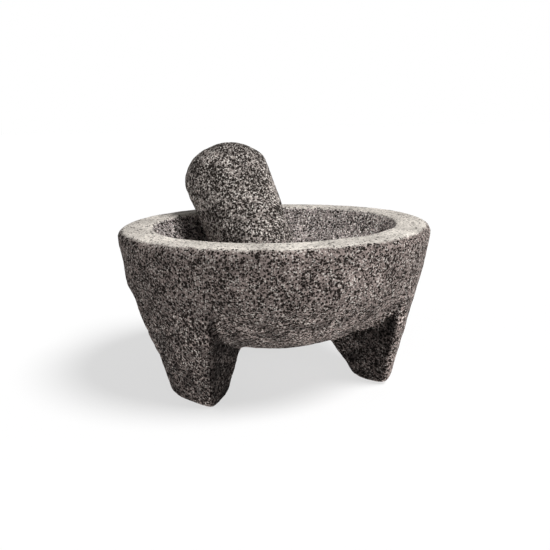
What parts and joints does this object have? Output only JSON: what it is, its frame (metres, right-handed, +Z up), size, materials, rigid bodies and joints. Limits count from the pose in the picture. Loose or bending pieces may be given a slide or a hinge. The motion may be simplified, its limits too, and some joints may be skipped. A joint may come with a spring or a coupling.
{
  "type": "mortar and pestle",
  "caption": "Round basalt grinding bowl standing on stout tapered legs cut from the same block, with a loose blunt basalt pestle leaning in its hollow, for grinding chillies, spices and salsa.",
  "frame": {"origin": "centre of the bowl's outline, on the surface that the feet stand on", "axes": "+Z up, along the bowl's axis; +Y towards the back leg; +X to the right as seen from the front"},
  "size_m": [0.2033, 0.2034, 0.1561],
  "materials": {
    "mortar_basalt": "matte",
    "pestle_basalt": "matte"
  },
  "bodies": {
    "mortar": {"mortar": "mortar_basalt"},
    "pestle": {"pestle": "pestle_basalt"}
  },
  "joints": [
    {"name": "pestle_lift", "type": "slide", "parent": "mortar", "child": "pestle", "axis": [0, 0, 1], "range_m": [0, 0.1]}
  ]
}
